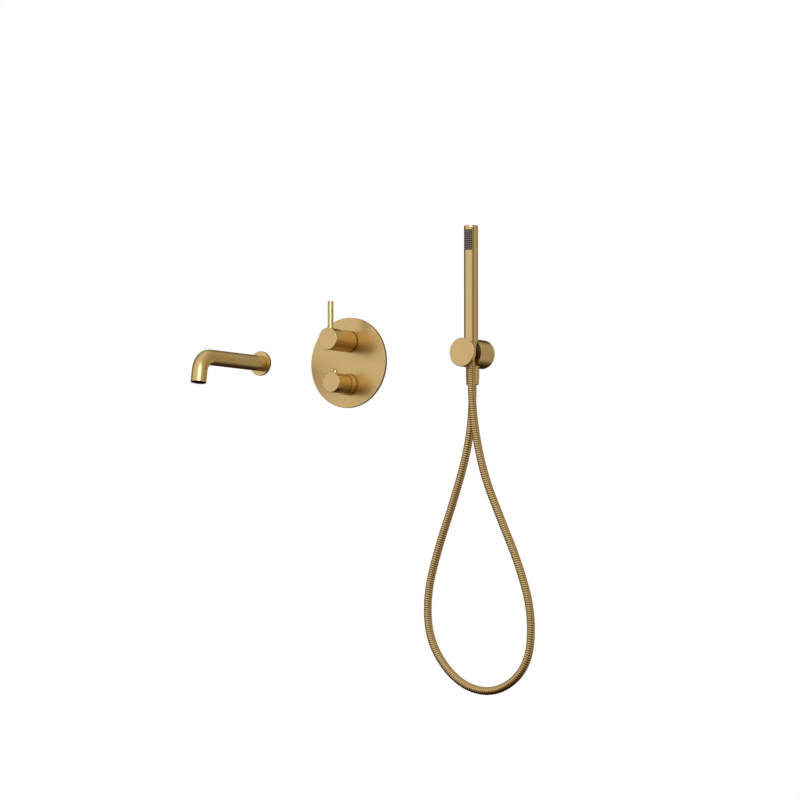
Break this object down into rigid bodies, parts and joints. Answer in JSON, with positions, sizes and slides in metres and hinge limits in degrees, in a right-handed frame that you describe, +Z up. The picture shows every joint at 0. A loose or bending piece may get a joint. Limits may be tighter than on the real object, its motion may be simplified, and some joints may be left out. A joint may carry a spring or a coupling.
{
  "type": "wall mounted bath and hand shower set",
  "caption": "Concealed bath mixer set: bent wall spout, round thermostatic mixer plate with diverter lever, and stick hand shower on a looped hose in its wall holder.",
  "frame": {"origin": "centre of the mixer's cover plate, on the face of the finished wall", "axes": "+X runs right along the wall, +Y runs into the wall, +Z is up; the room is at -Y"},
  "size_m": [0.629, 0.2551, 0.8103],
  "materials": {
    "brushed_gold": "satin brushed gold",
    "brass_raw": "machined",
    "steel": "machined",
    "rubber_black": "matt",
    "plastic_black": "semi-gloss",
    "silicone_dark": "satin",
    "plastic_white": "moulded",
    "plastic_grey": "moulded",
    "hose_gold": "ribbed metal hose"
  },
  "bodies": {
    "root": {"spout_tube": "brushed_gold", "spout_flange": "brushed_gold", "cover_plate": "brushed_gold", "thermostat_collar": "brushed_gold", "holder_body": "brushed_gold", "outlet_nut": "brushed_gold", "diverter_sleeve": "brushed_gold", "thermostat_sleeve": "brushed_gold", "spout_socket": "brass_raw", "spout_nipple": "brass_raw", "aerator_housing": "brass_raw", "valve_body": "brass_raw", "diverter_gland_nut": "brass_raw", "thermostat_gland_nut": "brass_raw", "holder_nipple": "brass_raw", "hose_stub": "brass_raw", "outlet_hose_tail": "brass_raw", "spout_set_screw": "steel", "valve_bracket": "steel", "upper_bracket_screw": "steel", "lower_bracket_screw": "steel", "spout_flange_seal": "rubber_black", "spout_o_ring_1": "rubber_black", "spout_o_ring_2": "rubber_black", "aerator_washer": "rubber_black", "plate_gasket": "rubber_black", "diverter_sleeve_seal": "rubber_black", "thermostat_sleeve_seal": "rubber_black", "holder_wall_seal": "rubber_black", "outlet_washer": "rubber_black", "diverter_cartridge": "plastic_white", "hot_check_valve": "plastic_white", "cold_check_valve": "plastic_white", "outlet_check_valve": "plastic_white", "thermostat_cartridge": "plastic_grey", "aerator_insert": "plastic_grey", "shower_hose": "hose_gold"},
    "diverter": {"diverter_knob": "brushed_gold", "lever_pin": "brushed_gold", "diverter_set_screw": "steel", "diverter_spindle": "brass_raw"},
    "thermostat": {"thermostat_knob": "brushed_gold", "thermostat_set_screw": "steel", "thermostat_spindle": "brass_raw", "button_spring": "steel"},
    "stop_button": {"safety_button": "brushed_gold"},
    "union": {"hose_union": "brushed_gold", "union_washer": "rubber_black", "union_hose_tail": "brass_raw"},
    "handset": {"handset_tube": "brushed_gold", "handset_cap": "brushed_gold", "handset_connector": "brass_raw", "nozzle_panel": "plastic_black", "spray_nozzles": "silicone_dark", "handset_waterway": "plastic_white"}
  },
  "joints": [
    {"name": "diverter_turn", "type": "hinge", "parent": "root", "child": "diverter", "pos_m": [0, -0.04, 0.038], "axis": [0, -1, 0], "range_deg": [-90, 90]},
    {"name": "temperature_turn", "type": "hinge", "parent": "root", "child": "thermostat", "pos_m": [0, -0.03, -0.038], "axis": [0, -1, 0], "range_deg": [-150, 60]},
    {"name": "stop_button_press", "type": "slide", "parent": "thermostat", "child": "stop_button", "axis": [0, 0, -1], "range_m": [0, 0.0025], "stiffness_N_per_m": 800, "springref_m": -0.001, "deforming": ["button_spring"]},
    {"name": "handset_lift", "type": "slide", "parent": "root", "child": "union", "axis": [0, 0, 1], "range_m": [0, 0.04]},
    {"name": "handset_swivel", "type": "hinge", "parent": "union", "child": "handset", "pos_m": [0.29, -0.052, 0.018], "axis": [0, 0, 1], "continuous": true}
  ]
}
